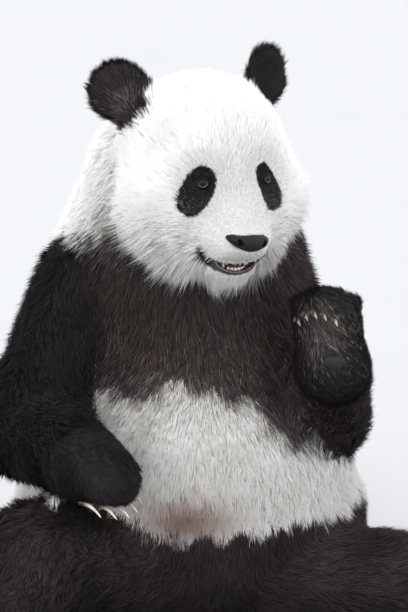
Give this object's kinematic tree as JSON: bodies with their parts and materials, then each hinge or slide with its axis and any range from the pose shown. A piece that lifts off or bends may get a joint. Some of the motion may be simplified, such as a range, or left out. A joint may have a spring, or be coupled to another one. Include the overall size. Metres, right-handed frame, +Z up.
{
  "type": "giant panda",
  "caption": "Life-size giant panda sitting upright on the floor, a forepaw raised and curled, the hind legs stretched out in front",
  "frame": {"origin": "on the floor under the middle of the pelvis, where the panda sits", "axes": "+Z up; the belly faces -Y; +X is the panda's left side"},
  "size_m": [1.2135, 0.7728, 0.9942],
  "materials": {
    "white_coat": "matte fur",
    "black_coat": "matte fur",
    "nose_leather": "pebbled, moist",
    "wet_eye": "wet",
    "claw_horn": "satin",
    "gums": "moist"
  },
  "bodies": {
    "root": {"head": "white_coat", "jaw": "white_coat", "nose": "nose_leather", "tongue": "gums", "ear_right": "black_coat", "eye_right": "wet_eye", "ear_left": "black_coat", "eye_left": "wet_eye", "belly": "white_coat", "chest": "black_coat", "neck": "white_coat", "tail": "white_coat", "upper_arm_right": "black_coat", "forearm_right": "black_coat", "hand_right": "black_coat", "claw_hand_right_1": "claw_horn", "claw_hand_right_2": "claw_horn", "claw_hand_right_3": "claw_horn", "claw_hand_right_4": "claw_horn", "claw_hand_right_5": "claw_horn", "thigh_right": "black_coat", "shank_right": "black_coat", "foot_right": "black_coat", "claw_foot_right_1": "claw_horn", "claw_foot_right_2": "claw_horn", "claw_foot_right_3": "claw_horn", "claw_foot_right_4": "claw_horn", "claw_foot_right_5": "claw_horn", "upper_arm_left": "black_coat", "forearm_left": "black_coat", "hand_left": "black_coat", "claw_hand_left_1": "claw_horn", "claw_hand_left_2": "claw_horn", "claw_hand_left_3": "claw_horn", "claw_hand_left_4": "claw_horn", "claw_hand_left_5": "claw_horn", "thigh_left": "black_coat", "shank_left": "black_coat", "foot_left": "black_coat", "claw_foot_left_1": "claw_horn", "claw_foot_left_2": "claw_horn", "claw_foot_left_3": "claw_horn", "claw_foot_left_4": "claw_horn", "claw_foot_left_5": "claw_horn"}
  },
  "joints": []
}
